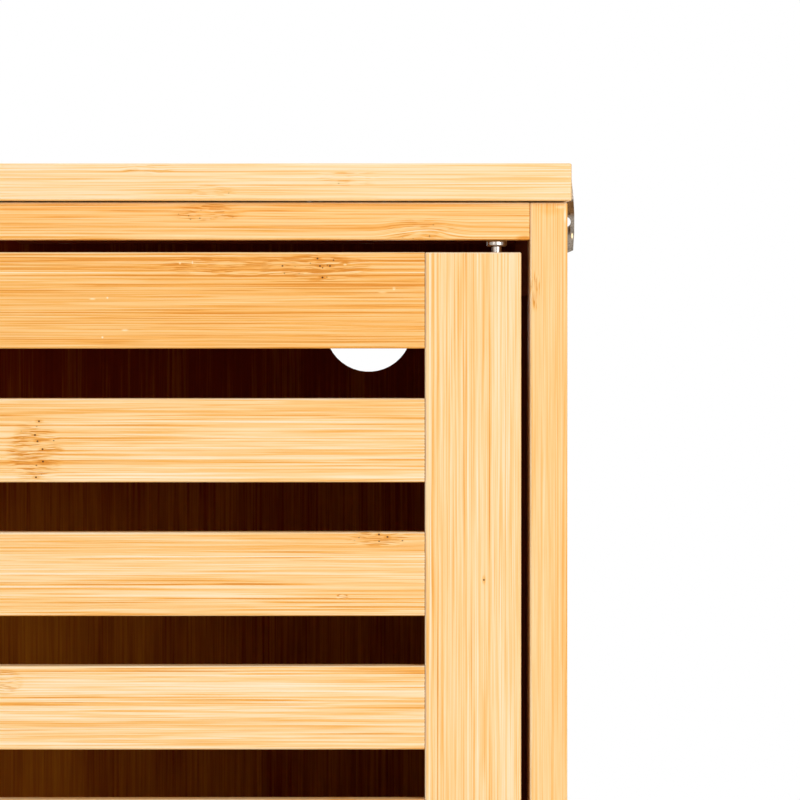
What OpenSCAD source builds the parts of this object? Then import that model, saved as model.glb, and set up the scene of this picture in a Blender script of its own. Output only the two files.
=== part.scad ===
// Bathroom vanity unit in solid bamboo: a case on four legs with a top board cut out for the
// basin's trap, one loose shelf, and two slatted doors that turn on pivot pins in flanged bushes.
// Millimetres. +Z is up, the doors face -Y, and +X is to the right as seen from the front.
// The origin is the middle of the floor rectangle that the whole unit covers.

/* [Overall size] */
// Width of the top board, left to right
top_w = 670; // [600:1:860]
// Depth of the top board, front to back
top_d = 300; // [270:1:400]
// Height from the floor to the top face
unit_h = 600; // [540:1:720]

/* [Boards] */
// Thickness of every bamboo board
board_t = 15; // [14:0.5:18]
// Radius on the sanded edges of every board
edge_r = 0.8; // [0.3:0.1:1.5]

/* [Case] */
// How far the top board stands past each side
side_overhang = 1.5; // [0.5:0.5:8]
// How far the top board stands past the doors
front_overhang = 5; // [0:0.5:15]
// Shadow gap between the top board and the posts and front rail
shadow_gap = 0.6; // [0.2:0.1:1]
// Depth of the posts and of the rails that lie between them
post_d = 38; // [38:0.5:50]
// Height of the side frames' rails
side_rail_h = 38; // [30:1:60]
// Height from the floor to the underside of the lowest rails
leg_h = 74; // [40:1:120]
// Thickness of the side panels
side_panel_t = 6; // [4:0.5:7]
// Depth of the grooves that hold the side panels
side_groove_d = 6; // [4:0.5:8]
// Thickness of the back panel
back_t = 4; // [3:0.5:4.5]
// Depth of the grooves that hold the back panel
back_groove_d = 5; // [3:0.5:6]
// Distance from the rear of the posts to the back panel
back_inset = 6; // [4:0.5:7]
// Gap on each side of a panel in its groove
panel_clearance = 0.2; // [0.1:0.05:0.3]

/* [Openings for pipes] */
// Width of the trap cut-out in the top board and the shelf
cutout_w = 180; // [120:5:220]
// Depth of the trap cut-out, from the rear edge
cutout_d = 120; // [80:5:140]
// Radius in the inner corners of the cut-outs
cutout_r = 30; // [15:1:50]
// Width of the notch for the waste pipe in the back panel
waste_w = 160; // [80:5:170]
// Depth of that notch, below the top board
waste_h = 180; // [100:5:220]
// Diameter of the two round pipe holes in the back panel
pipe_hole_d = 38; // [25:1:60]
// Distance from a pipe hole's centre to the inner face of the post
pipe_hole_x = 63.8; // [45:0.1:90]
// Distance from a pipe hole's centre to the top face
pipe_hole_drop = 67; // [55:1:100]

/* [Shelf] */
// Height of the shelf's support pins above the lowest rails' underside
shelf_pin_z = 226; // [170:1:260]
// Height from one row of pin holes to the next
shelf_row_pitch = 50; // [25:5:55]
// Gap between the shelf's ends and the posts
shelf_end_gap = 1.5; // [1.2:0.1:3]
// Gap between the doors' backs and the shelf
shelf_front_gap = 7; // [6:0.5:9]
// Diameter of the shelf pins
shelf_pin_d = 5; // [4:0.5:5]
// How far a shelf pin stands out of the post
shelf_pin_out = 9; // [7:0.5:12]
// How far a shelf pin goes into the post
shelf_pin_in = 8; // [6:0.5:9]

/* [Doors] */
// Width of the door stiles
stile_w = 38.5; // [34:0.5:50]
// Height of the door rails
door_rail_h = 38.5; // [30:0.5:50]
// Height of each door slat
slat_h = 33.5; // [26:0.5:38]
// Gap between a door and its post
door_side_gap = 3.5; // [3:0.1:6]
// Gap between the two doors
door_mid_gap = 3; // [2:0.1:6]
// Gap above the doors
door_top_gap = 4.9; // [3.5:0.1:8]
// Gap below the doors
door_bottom_gap = 4; // [3.5:0.1:6]
// Length of the tenons on the door rails and slats
door_tenon_l = 12; // [8:0.5:14]
// Thickness of every tenon
tenon_t = 5; // [4:0.5:7]
// Shoulder above and below every tenon
tenon_shoulder = 4; // [3:0.5:6]
// Gap round a tenon in its mortise
tenon_clearance = 0.1; // [0.05:0.05:0.3]

/* [Pivots] */
// Distance from the door's edge to the pivot's axis
pivot_inset = 9.7; // [8.5:0.1:10]
// Diameter of the pivot pins
pivot_d = 4; // [3:0.1:4]
// Gap between a pivot pin and its bush, on the radius
pivot_running_gap = 0.05; // [0.02:0.01:0.1]
// Outer diameter of the pivot bushes
bush_d = 6; // [5.8:0.1:6.5]
// Length of the bushes inside the rails
bush_l = 11; // [8:0.5:12]
// Diameter of the bushes' flanges
bush_flange_d = 8.4; // [8:0.1:10]
// Thickness of the bushes' flanges
bush_flange_t = 2.6; // [1.8:0.1:2.8]
// Radius on the rims of the flanges
bush_flange_r = 0.8; // [0.3:0.1:0.8]
// Length of a pivot pin inside the stile
pivot_in_stile = 24; // [15:1:30]
// Length of a pivot pin inside its bush
pivot_in_bush = 9; // [6:0.5:10]

/* [Knobs] */
// Height of the knobs above the floor
knob_z = 380; // [300:1:450]
// Diameter of a knob's head
knob_d = 26; // [20:1:32]
// How far a knob stands out from its door
knob_l = 22; // [18:0.5:30]
// Diameter of a knob's neck
knob_neck_d = 10; // [8:0.5:14]
// Diameter of a knob's foot
knob_foot_d = 15; // [12:0.5:18]

/* [Magnetic catch] */
// Width of the catch between its ears
catch_w = 62; // [58:1:80]
// Depth of the catch, front to back
catch_d = 17; // [14:0.5:18]
// Height of the catch
catch_h = 14; // [12:0.5:16]
// Width of the magnets and height of their faces
magnet_size = [14, 6, 7];
// Size of the strike plates on the doors
strike_size = [22, 1.2, 11];
// Gap between a strike plate and the catch
catch_gap = 0.3; // [0.3:0.05:0.6]

/* [Wall-fixing lugs] */
// How far a lug stands out past the side of the case
lug_reach = 11.6; // [10:0.1:16]
// Height of a lug at its outer edge
lug_h = 31.4; // [30:0.1:40]
// How much further down a lug reaches at its inner end
lug_taper = 10.5; // [0:0.5:14]
// Radius of the slight bow of a lug's outer edge
lug_bow_r = 140; // [60:5:400]
// Thickness of a lug
lug_t = 2; // [1.5:0.1:3]
// Distance from the top face to the top of a lug
lug_drop = 1.2; // [0.5:0.1:3]
// Diameter of the hole for the wall screw
lug_hole_d = 4.4; // [4:0.1:6]
// Distance from that hole's centre to the lug's outer edge
lug_hole_edge = 3.8; // [3.7:0.1:6]
// Height of that hole's centre above the lug's outer bottom corner
lug_hole_up = 12.3; // [9:0.1:20]

/* [Fasteners] */
// Diameter of the wooden dowels
dowel_d = 6; // [5:0.5:6]
// Length of the wooden dowels
dowel_l = 24; // [20:1:30]
// Diameter of the frame bolts
bolt_d = 6; // [5:0.5:6]
// Diameter of the frame bolts' heads
bolt_head_d = 12; // [10:0.5:13]
// Thickness of the frame bolts' heads
bolt_head_t = 2.6; // [2:0.1:4]
// Diameter of the barrel nuts
nut_d = 10; // [9:0.5:10]
// Length of the barrel nuts
nut_l = 12; // [10:0.5:12.5]
// Distance from a rail's end to its barrel nut
nut_inset = 25; // [20:1:35]
// Diameter of the wood screws
screw_d = 3.5; // [3:0.1:4]
// Diameter of the wood screws' heads
screw_head_d = 7; // [6:0.5:8]
// Gap round dowels, screws, bolts, nuts and bushes in their holes
hole_clearance = 0.1; // [0.05:0.05:0.2]
// Diameter of the foot glides
glide_d = 12; // [9:0.5:13]
// Thickness of the foot glides
glide_t = 2; // [1:0.5:5]

/* [Hidden] */
$fn = 32;
SLATS = 7;
ROWS = [-1, 0, 1];
BODY_NODES = [
    "top_board", "front_top_rail", "front_bottom_rail", "rear_left_top_rail", "rear_right_top_rail",
    "rear_bottom_rail", "front_left_post", "front_right_post", "rear_left_post", "rear_right_post",
    "left_side_top_rail", "right_side_top_rail", "left_side_bottom_rail", "right_side_bottom_rail",
    "left_side_panel", "right_side_panel", "back_panel", "bottom_board", "shelf", "shelf_pins",
    "foot_glides", "wall_lugs", "wood_screws", "frame_bolts", "barrel_nuts", "dowels",
    "pivot_bushes", "door_catch", "catch_magnets"
];
DOOR_NODES = [
    "hinge_stile", "meeting_stile", "top_rail", "bottom_rail", "slat_1", "slat_2", "slat_3", "slat_4",
    "slat_5", "slat_6", "slat_7", "pivot_pins", "knob", "strike_plate", "screws"
];

// Colours
BAMBOO = [0.98, 0.83, 0.58];
BAMBOO_DARK = [0.95, 0.72, 0.45];
BACK_BROWN = [0.33, 0.19, 0.09];
STEEL = [0.74, 0.74, 0.74];
BRIGHT_STEEL = [0.86, 0.86, 0.86];
DARK_PLASTIC = [0.16, 0.14, 0.13];
MAGNET_GREY = [0.35, 0.35, 0.37];

// How far a cut runs past the face that it starts from
PAST = 1;
// Gaps at the ends of tenons, panels and screws
TENON_END_GAP = 0.5;
PANEL_END_GAP = 0.3;
SCREW_END_GAP = 0.5;

// The case's faces
unit_d = knob_l + top_d - front_overhang + lug_t;
front_y = -unit_d / 2 + knob_l;
rear_y = unit_d / 2 - lug_t;
top_front_y = front_y - front_overhang;
side_x = top_w / 2 - side_overhang;
inner_x = side_x - board_t;
top_z = unit_h - board_t;
post_top_z = top_z - shadow_gap;
lower_z = leg_h + board_t;
back_y = rear_y - back_inset - back_t;
front_post_end_y = front_y + post_d;
rear_post_end_y = rear_y - post_d;

// Where the holes lie across a post, counted from its outer edge: first the dowel, then the bolt
HOLE_WALL = 1;
HOLE_SPARE = 1.5;
EDGE_ZONE = max(board_t / 2 + bush_d / 2 + hole_clearance, back_inset + back_t + 2 * panel_clearance);
dowel_in = EDGE_ZONE + HOLE_WALL + dowel_d / 2 + hole_clearance;
bolt_in = dowel_in + dowel_d / 2 + bolt_d / 2 + 2 * hole_clearance + HOLE_WALL + HOLE_SPARE;
case_tenon_l = post_d - bolt_in - bolt_d / 2 - hole_clearance - HOLE_WALL;
dowel_in_post = 8;
bolt_tip = 7;
bolt_l = board_t - bolt_head_t + nut_inset + bolt_tip;
shelf_pin_in_y = post_d - side_groove_d - 2 * HOLE_WALL - shelf_pin_d / 2 - hole_clearance;

// The doors
pivot_x = inner_x - door_side_gap - pivot_inset;
pivot_y = front_y + board_t / 2;
door_x0 = door_mid_gap / 2;
door_x1 = inner_x - door_side_gap;
door_z0 = lower_z + door_bottom_gap;
door_z1 = post_top_z - board_t - door_top_gap;
rail_x0 = door_x0 + stile_w;
rail_x1 = door_x1 - stile_w;
slat_gap = (door_z1 - door_z0 - 2 * door_rail_h - SLATS * slat_h) / (SLATS + 1);
meeting_mid_x = door_x0 + stile_w / 2;
strike_x = door_x0 + (stile_w - door_tenon_l) / 2;
COLLAR_GAP = 0.1;
collar_t = door_bottom_gap - bush_flange_t - COLLAR_GAP;

// The shelf
shelf_z = leg_h + shelf_pin_z + shelf_pin_d / 2;
shelf_front_y = front_y + board_t + shelf_front_gap;
shelf_rear_gap = 1;
SHELF_FLANGE_T = 1;
SHELF_FLANGE_D = shelf_pin_d + 3;

// Screws, their reach and their places
RECESS_SIZE = [3.2, 0.8, 1.2];
TOP_SCREW_BITE = 9;
LUG_SCREW_L = 16;
CATCH_SCREW_L = 13;
STRIKE_SCREW_L = 9;
KNOB_SCREW_HEAD_D = 8;
KNOB_SCREW_HEAD_T = 2;
KNOB_THREAD = 9;
KNOB_SCREW_D = 4;
KNOB_RIM = 3;
KNOB_FOOT_T = 2;
KNOB_HEAD_SHARE = 0.45;
FRONT_SCREW_X = [90, 230];
CUTOUT_TO_RAIL = 12;
RAIL_END_TO_SCREW = 20;
NUT_TO_SCREW = 40;
rear_rail_x0 = cutout_w / 2 + CUTOUT_TO_RAIL;
REAR_SCREW_X = [rear_rail_x0 + RAIL_END_TO_SCREW, inner_x - nut_inset - NUT_TO_SCREW];
BOTTOM_DOWEL_X = [-220, 0, 220];
TOP_DOWEL_Y = 60;
TOP_DOWEL_DOWN = 3;
DOWEL_CHAMFER = 0.8;
HOLE_END_GAP = 0.5;
BOLT_SOCKET_D = 4.6;
BOLT_SOCKET_FLOOR = 0.6;
BOLT_SUNK = 0.1;
NUT_END_GAP = 0.2;
GLIDE_NAIL_L = 12;
GLIDE_NAIL_D = 2.4;
GLIDE_CHAMFER = 0.7;
GLIDE_OVERLAP = 0.5;
LUG_TO_INNER = 1;
BOW_FACETS = 360;
top_mid_y = (front_post_end_y + rear_post_end_y) / 2;
lug_z0 = unit_h - lug_drop - lug_h;
lug_x0 = inner_x + LUG_TO_INNER;
lug_x1 = side_x + lug_reach;
lug_screw_x = side_x - board_t / 2;
lug_hole_z = lug_z0 + lug_hole_up;
catch_y = front_y + board_t + strike_size[1] + catch_gap;
catch_z = post_top_z - board_t - catch_h;
CATCH_EAR = 12;
CATCH_EAR_T = 3;
CATCH_EAR_IN = 2;
CATCH_R = 0.8;
CATCH_EAR_R = 4;
MAGNET_UP = 2;
STRIKE_DOWN = 2;
STRIKE_R = 2;
catch_screw_x = catch_w / 2 + CATCH_EAR / 2;
strike_z = door_z1 - STRIKE_DOWN - strike_size[2] / 2;
STRIKE_SCREW_X = 7;

// Building blocks

// A rectangle with round corners
module rounded_rect(w, h, r) {
    translate([r, 0]) square([w - 2 * r, h]);
    translate([0, r]) square([w, h - 2 * r]);
    for (x = [r, w - r], y = [r, h - r]) translate([x, y]) circle(r);
}

// A board with every edge sanded round
module board(size, r = edge_r) {
    intersection() {
        linear_extrude(size[2]) rounded_rect(size[0], size[1], r);
        translate([0, size[1], 0]) rotate([90, 0, 0])
            linear_extrude(size[1]) rounded_rect(size[0], size[2], r);
        rotate([90, 0, 90]) linear_extrude(size[0]) rounded_rect(size[1], size[2], r);
    }
}

// A board between two corners
module board_between(a, b, r = edge_r) {
    translate(a) board(b - a, r);
}

// A plain block between two corners
module block(a, b) {
    translate(a) cube(b - a);
}

// Shows its children as they are on the right, and mirrored on the left
module on_side(s) {
    if (s > 0) children();
    else mirror([1, 0, 0]) children();
}

// The trap's cut-out from the rear edge of a board whose underside is at z, with round inner corners
module trap_cut(z) {
    translate([-cutout_w / 2, rear_y - cutout_d, z - PAST])
        linear_extrude(board_t + 2 * PAST) rounded_rect(cutout_w, 2 * cutout_d, cutout_r);
}

// A countersunk screw pointing along +Z, with the face of its head at z = 0
module countersunk_screw(l, grow = 0) {
    head_t = (screw_head_d - screw_d) / 2;
    point_l = screw_d;
    point_r = screw_d / 9;
    rotate_extrude() polygon([
        [0, -grow],
        [screw_head_d / 2 + grow, -grow],
        [screw_d / 2 + grow, head_t],
        [screw_d / 2 + grow, l - point_l],
        [point_r + grow, l + grow],
        [0, l + grow]
    ]);
}

// A cross recess in a screw's head, at z = 0
module cross_recess() {
    s = RECESS_SIZE;
    for (a = [0, 90]) rotate(a) translate([-s[0] / 2, -s[1] / 2, -PAST]) cube([s[0], s[1], s[2] + PAST]);
}

module screw(l) {
    difference() {
        countersunk_screw(l);
        cross_recess();
    }
}

// A dowel centred on the origin along +Z, with small chamfers
module dowel(grow = 0) {
    r = dowel_d / 2 + grow;
    h = dowel_l / 2 + (grow > 0 ? HOLE_END_GAP : 0);
    c = DOWEL_CHAMFER;
    rotate_extrude() polygon([[0, -h], [r - c, -h], [r, c - h], [r, h - c], [r - c, h], [0, h]]);
}

// A frame bolt pointing along +Z from the case's outer face, with a hexagon socket
module frame_bolt() {
    difference() {
        union() {
            translate([0, 0, BOLT_SUNK]) cylinder(h = bolt_head_t - BOLT_SUNK, d = bolt_head_d);
            translate([0, 0, BOLT_SUNK]) cylinder(h = bolt_head_t - BOLT_SUNK + bolt_l, d = bolt_d);
        }
        translate([0, 0, -PAST])
            cylinder(h = PAST + bolt_head_t - BOLT_SOCKET_FLOOR, d = BOLT_SOCKET_D, $fn = 6);
    }
}

// The hole for a frame bolt: a counterbore in the post, then the shank's hole
module frame_bolt_hole() {
    translate([0, 0, -PAST]) cylinder(h = PAST + bolt_head_t, d = bolt_head_d + 4 * hole_clearance);
    cylinder(h = bolt_head_t + bolt_l + PAST, d = bolt_d + 2 * hole_clearance);
}

// Places the children at a frame bolt's head on the right side, pointing inwards
module at_bolt(y, z) {
    translate([side_x, y, z]) rotate([0, -90, 0]) children();
}

// Places the children at a barrel nut on the right side
module at_nut(y, z) {
    translate([inner_x - nut_inset, y, z]) children();
}

module nut_hole() {
    top = nut_l / 2 + NUT_END_GAP;
    translate([0, 0, -board_t]) cylinder(h = board_t + top, d = nut_d + 2 * hole_clearance);
}

// The four ends of lengthwise rails on one side: distance from the outer edge is the same at all
function bolt_y(front) = front ? front_y + bolt_in : rear_y - bolt_in;
function dowel_y(front) = front ? front_y + dowel_in : rear_y - dowel_in;
function rail_z(upper, front) =
    !upper ? leg_h + board_t / 2 : (front ? post_top_z : top_z) - board_t / 2;

module end_bolt_cuts(front, upper) {
    at_bolt(bolt_y(front), rail_z(upper, front)) frame_bolt_hole();
}

module at_end_dowel(front, upper) {
    translate([inner_x - dowel_l / 2 + dowel_in_post, dowel_y(front), rail_z(upper, front)])
        rotate([0, 90, 0]) children();
}

// What is cut from a lengthwise rail at its right end
module rail_end_cuts(front, upper) {
    end_bolt_cuts(front, upper);
    at_end_dowel(front, upper) dowel(hole_clearance);
    at_nut(bolt_y(front), rail_z(upper, front)) nut_hole();
}

// The places of the screws that hold the top board, with their heads under the rails
module at_front_top_screws() {
    for (s = [-1, 1], x = FRONT_SCREW_X)
        translate([s * x, front_y + post_d / 2, post_top_z - board_t]) children();
}

module at_rear_top_screws() {
    for (x = REAR_SCREW_X) translate([x, rear_y - post_d / 2, top_z - board_t]) children();
}

module at_side_top_dowels() {
    for (y = [-TOP_DOWEL_Y, TOP_DOWEL_Y])
        translate([side_x - board_t / 2, top_mid_y + y, top_z - TOP_DOWEL_DOWN]) children();
}

module at_bottom_dowels(front) {
    y = front ? front_post_end_y : rear_post_end_y;
    for (x = BOTTOM_DOWEL_X) translate([x, y, leg_h + board_t / 2]) rotate([90, 0, 0]) children();
}

// The back panel with a gap all round, for cutting grooves
module back_groove() {
    g = panel_clearance;
    block(
        [-inner_x - back_groove_d, back_y - g, lower_z - back_groove_d],
        [inner_x + back_groove_d, back_y + back_t + g, top_z - board_t + back_groove_d]
    );
}

// The right side panel, grown by g on its faces
module side_panel_body(g = 0) {
    x = side_x - board_t / 2;
    e = g > 0 ? 0 : PANEL_END_GAP;
    block(
        [
            x - side_panel_t / 2 - g,
            front_post_end_y - side_groove_d + e,
            leg_h + side_rail_h - side_groove_d + e
        ],
        [
            x + side_panel_t / 2 + g,
            rear_post_end_y + side_groove_d - e,
            top_z - side_rail_h + side_groove_d - e
        ]
    );
}

// The tenons of a right side rail whose underside is at z, grown by g in their mortises
module side_tenons(z, g = 0) {
    x = side_x - board_t / 2;
    l = g > 0 ? case_tenon_l : case_tenon_l - TENON_END_GAP;
    block(
        [x - tenon_t / 2 - g, front_post_end_y - l, z + tenon_shoulder + shadow_gap - g],
        [x + tenon_t / 2 + g, rear_post_end_y + l, z + side_rail_h - tenon_shoulder - shadow_gap + g]
    );
}

module right_shelf_pin_holes(front) {
    y = front ? front_y + shelf_pin_in_y : rear_y - shelf_pin_in_y;
    for (row = ROWS)
        translate([inner_x - PAST, y, leg_h + shelf_pin_z + row * shelf_row_pitch]) rotate([0, 90, 0])
            cylinder(h = shelf_pin_in + HOLE_WALL + PAST, d = shelf_pin_d + 2 * hole_clearance);
}

// The case

module top_board() {
    color(BAMBOO) difference() {
        board_between([-top_w / 2, top_front_y, top_z], [top_w / 2, rear_y, unit_h]);
        trap_cut(top_z);
        at_front_top_screws() countersunk_screw(board_t + shadow_gap + TOP_SCREW_BITE, hole_clearance);
        for (s = [-1, 1]) on_side(s) {
            at_rear_top_screws() countersunk_screw(board_t + TOP_SCREW_BITE, hole_clearance);
            at_side_top_dowels() dowel(hole_clearance);
            at_upper_lug_screw() countersunk_screw(LUG_SCREW_L, hole_clearance);
        }
    }
}

// A lengthwise rail that lies flat between the posts
module flat_rail(x0, x1, front, upper) {
    z1 = upper ? (front ? post_top_z : top_z) : lower_z;
    y0 = front ? front_y : rear_post_end_y;
    board_between([x0, y0, z1 - board_t], [x1, y0 + post_d, z1]);
}

// The bush's seat in a front rail: the hole opens downwards in the top rail, upwards in the lower
module bush_seat(upper) {
    z = upper ? post_top_z - board_t : lower_z;
    translate([pivot_x, pivot_y, z]) mirror([0, 0, upper ? 0 : 1])
        translate([0, 0, -PAST])
            cylinder(h = PAST + bush_l + HOLE_END_GAP, d = bush_d + 2 * hole_clearance);
}

module front_top_rail() {
    color(BAMBOO_DARK) difference() {
        flat_rail(-inner_x, inner_x, true, true);
        for (s = [-1, 1]) on_side(s) {
            rail_end_cuts(true, true);
            bush_seat(true);
            at_catch_screw() countersunk_screw(CATCH_SCREW_L, hole_clearance);
        }
        at_front_top_screws() countersunk_screw(board_t + TOP_SCREW_BITE, hole_clearance);
    }
}

module front_bottom_rail() {
    color(BAMBOO_DARK) difference() {
        flat_rail(-inner_x, inner_x, true, false);
        for (s = [-1, 1]) on_side(s) {
            rail_end_cuts(true, false);
            bush_seat(false);
        }
        at_bottom_dowels(true) dowel(hole_clearance);
    }
}

module rear_bottom_rail() {
    color(BAMBOO_DARK) difference() {
        flat_rail(-inner_x, inner_x, false, false);
        back_groove();
        for (s = [-1, 1]) on_side(s) rail_end_cuts(false, false);
        at_bottom_dowels(false) dowel(hole_clearance);
    }
}

module rear_top_rail(s) {
    color(BAMBOO_DARK) on_side(s) difference() {
        flat_rail(rear_rail_x0, inner_x, false, true);
        back_groove();
        rail_end_cuts(false, true);
        at_rear_top_screws() countersunk_screw(board_t + TOP_SCREW_BITE, hole_clearance);
    }
}

module post(s, front) {
    y0 = front ? front_y : rear_post_end_y;
    color(BAMBOO) on_side(s) difference() {
        board_between([inner_x, y0, glide_t], [side_x, y0 + post_d, post_top_z]);
        side_panel_body(panel_clearance);
        side_tenons(top_z - side_rail_h, tenon_clearance);
        side_tenons(leg_h, tenon_clearance);
        right_shelf_pin_holes(front);
        for (upper = [false, true]) {
            end_bolt_cuts(front, upper);
            at_end_dowel(front, upper) dowel(hole_clearance);
        }
        at_glide(front) glide_nail(hole_clearance);
        if (!front) {
            back_groove();
            at_lower_lug_screw() countersunk_screw(LUG_SCREW_L, hole_clearance);
        }
    }
}

module side_rail(s, upper) {
    z = upper ? top_z - side_rail_h : leg_h;
    color(BAMBOO_DARK) on_side(s) difference() {
        union() {
            board_between([inner_x, front_post_end_y, z], [side_x, rear_post_end_y, z + side_rail_h]);
            side_tenons(z);
        }
        side_panel_body(panel_clearance);
        if (upper) at_side_top_dowels() dowel(hole_clearance);
    }
}

module side_panel(s) {
    color(BAMBOO) on_side(s) side_panel_body();
}

module back_panel() {
    e = PANEL_END_GAP;
    color(BACK_BROWN) difference() {
        block(
            [-inner_x - back_groove_d + e, back_y, lower_z - back_groove_d + e],
            [inner_x + back_groove_d - e, back_y + back_t, top_z - board_t + back_groove_d - e]
        );
        for (s = [-1, 1])
            translate([s * (inner_x - pipe_hole_x), back_y - PAST, unit_h - pipe_hole_drop])
                rotate([-90, 0, 0]) cylinder(h = back_t + 2 * PAST, d = pipe_hole_d);
        translate([-waste_w / 2, back_y + back_t + PAST, top_z - waste_h]) rotate([90, 0, 0])
            linear_extrude(back_t + 2 * PAST) rounded_rect(waste_w, 2 * waste_h, cutout_r);
    }
}

module bottom_board() {
    color(BAMBOO) difference() {
        board_between([-inner_x, front_post_end_y, leg_h], [inner_x, rear_post_end_y, lower_z]);
        at_bottom_dowels(true) dowel(hole_clearance);
        at_bottom_dowels(false) dowel(hole_clearance);
    }
}

// The shelf

module shelf() {
    x = inner_x - shelf_end_gap;
    color(BAMBOO) difference() {
        board_between([-x, shelf_front_y, shelf_z], [x, back_y - shelf_rear_gap, shelf_z + board_t]);
        trap_cut(shelf_z);
    }
}

module shelf_pins() {
    color(STEEL) for (s = [-1, 1], front = [false, true]) on_side(s) {
        y = front ? front_y + shelf_pin_in_y : rear_y - shelf_pin_in_y;
        translate([inner_x, y, leg_h + shelf_pin_z]) rotate([0, 90, 0]) {
            translate([0, 0, -shelf_pin_out]) cylinder(h = shelf_pin_out + shelf_pin_in, d = shelf_pin_d);
            translate([0, 0, -SHELF_FLANGE_T]) cylinder(h = SHELF_FLANGE_T, d = SHELF_FLANGE_D);
        }
    }
}

// Feet, lugs and fasteners of the case

module at_glide(front) {
    y = front ? front_y + post_d / 2 : rear_y - post_d / 2;
    translate([side_x - board_t / 2, y, glide_t]) children();
}

module glide_nail(grow = 0) {
    h = GLIDE_OVERLAP + GLIDE_NAIL_L + (grow > 0 ? HOLE_END_GAP : 0);
    translate([0, 0, -GLIDE_OVERLAP]) cylinder(h = h, d = GLIDE_NAIL_D + 2 * grow);
}

module foot_glides() {
    color(DARK_PLASTIC) for (s = [-1, 1], front = [false, true]) on_side(s) at_glide(front) {
        rotate_extrude() polygon([
            [0, -glide_t],
            [glide_d / 2 - GLIDE_CHAMFER, -glide_t],
            [glide_d / 2, GLIDE_CHAMFER - glide_t],
            [glide_d / 2, 0],
            [0, 0]
        ]);
        glide_nail();
    }
}

// Places of the right lug's screws, pointing forwards from the lug's rear face
module at_upper_lug_screw() {
    translate([lug_screw_x, rear_y + lug_t, unit_h - board_t / 2]) rotate([90, 0, 0]) children();
}

module at_lower_lug_screw() {
    translate([lug_screw_x, rear_y + lug_t, lug_z0]) rotate([90, 0, 0]) children();
}

// The right lug's outline in X and Z: it tapers outwards, and its outer edge is slightly bowed
module lug_outline() {
    intersection() {
        polygon([
            [lug_x0, lug_z0 - lug_taper],
            [lug_x1, lug_z0],
            [lug_x1, lug_z0 + lug_h],
            [lug_x0, lug_z0 + lug_h]
        ]);
        translate([lug_x1 - lug_bow_r, lug_hole_z]) circle(lug_bow_r, $fn = BOW_FACETS);
    }
}

module wall_lugs() {
    color(BRIGHT_STEEL) for (s = [-1, 1]) on_side(s) difference() {
        translate([0, rear_y + lug_t, 0]) rotate([90, 0, 0]) linear_extrude(lug_t) lug_outline();
        translate([lug_x1 - lug_hole_edge, rear_y - PAST, lug_hole_z]) rotate([-90, 0, 0])
            cylinder(h = lug_t + 2 * PAST, d = lug_hole_d);
        at_upper_lug_screw() countersunk_screw(LUG_SCREW_L, hole_clearance);
        at_lower_lug_screw() countersunk_screw(LUG_SCREW_L, hole_clearance);
    }
}

module at_catch_screw() {
    translate([catch_screw_x, catch_y + catch_d / 2, post_top_z - board_t - CATCH_EAR_T]) children();
}

module wood_screws() {
    color(STEEL) {
        at_front_top_screws() screw(board_t + shadow_gap + TOP_SCREW_BITE - SCREW_END_GAP);
        for (s = [-1, 1]) on_side(s) {
            at_rear_top_screws() screw(board_t + TOP_SCREW_BITE - SCREW_END_GAP);
            at_upper_lug_screw() screw(LUG_SCREW_L - SCREW_END_GAP);
            at_lower_lug_screw() screw(LUG_SCREW_L - SCREW_END_GAP);
            at_catch_screw() screw(CATCH_SCREW_L - SCREW_END_GAP);
        }
    }
}

module frame_bolts() {
    color(STEEL) for (s = [-1, 1], front = [false, true], upper = [false, true])
        on_side(s) at_bolt(bolt_y(front), rail_z(upper, front)) frame_bolt();
}

module barrel_nuts() {
    color(STEEL) for (s = [-1, 1], front = [false, true], upper = [false, true])
        on_side(s) at_nut(bolt_y(front), rail_z(upper, front)) difference() {
            translate([0, 0, -nut_l / 2]) cylinder(h = nut_l, d = nut_d);
            translate([-nut_d, 0, 0]) rotate([0, 90, 0]) cylinder(h = 2 * nut_d, d = bolt_d + hole_clearance);
        }
}

module dowels() {
    color(BAMBOO) {
        for (s = [-1, 1]) on_side(s) {
            for (front = [false, true], upper = [false, true]) at_end_dowel(front, upper) dowel();
            at_side_top_dowels() dowel();
        }
        for (front = [false, true]) at_bottom_dowels(front) dowel();
    }
}

// The doors' hardware on the case

module pivot_bush() {
    r = bush_flange_r;
    difference() {
        union() {
            cylinder(h = bush_l, d = bush_d);
            translate([0, 0, -bush_flange_t]) rotate_extrude() {
                square([bush_flange_d / 2 - r, bush_flange_t]);
                translate([0, r]) square([bush_flange_d / 2, bush_flange_t - 2 * r]);
                for (z = [r, bush_flange_t - r]) translate([bush_flange_d / 2 - r, z]) circle(r);
            }
        }
        translate([0, 0, -bush_flange_t - PAST])
            cylinder(h = bush_l + bush_flange_t + 2 * PAST, d = pivot_d + 2 * pivot_running_gap);
    }
}

module pivot_bushes() {
    color(BRIGHT_STEEL) for (s = [-1, 1]) on_side(s) {
        translate([pivot_x, pivot_y, post_top_z - board_t]) pivot_bush();
        translate([pivot_x, pivot_y, lower_z]) mirror([0, 0, 1]) pivot_bush();
    }
}

// The right magnet, grown by g for its pocket
module magnet(g = 0) {
    m = magnet_size;
    front = g > 0 ? PAST : 0;
    translate([strike_x - m[0] / 2 - g, catch_y - front, catch_z + MAGNET_UP - g])
        cube([m[0] + 2 * g, m[1] + g + front, m[2] + 2 * g]);
}

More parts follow.
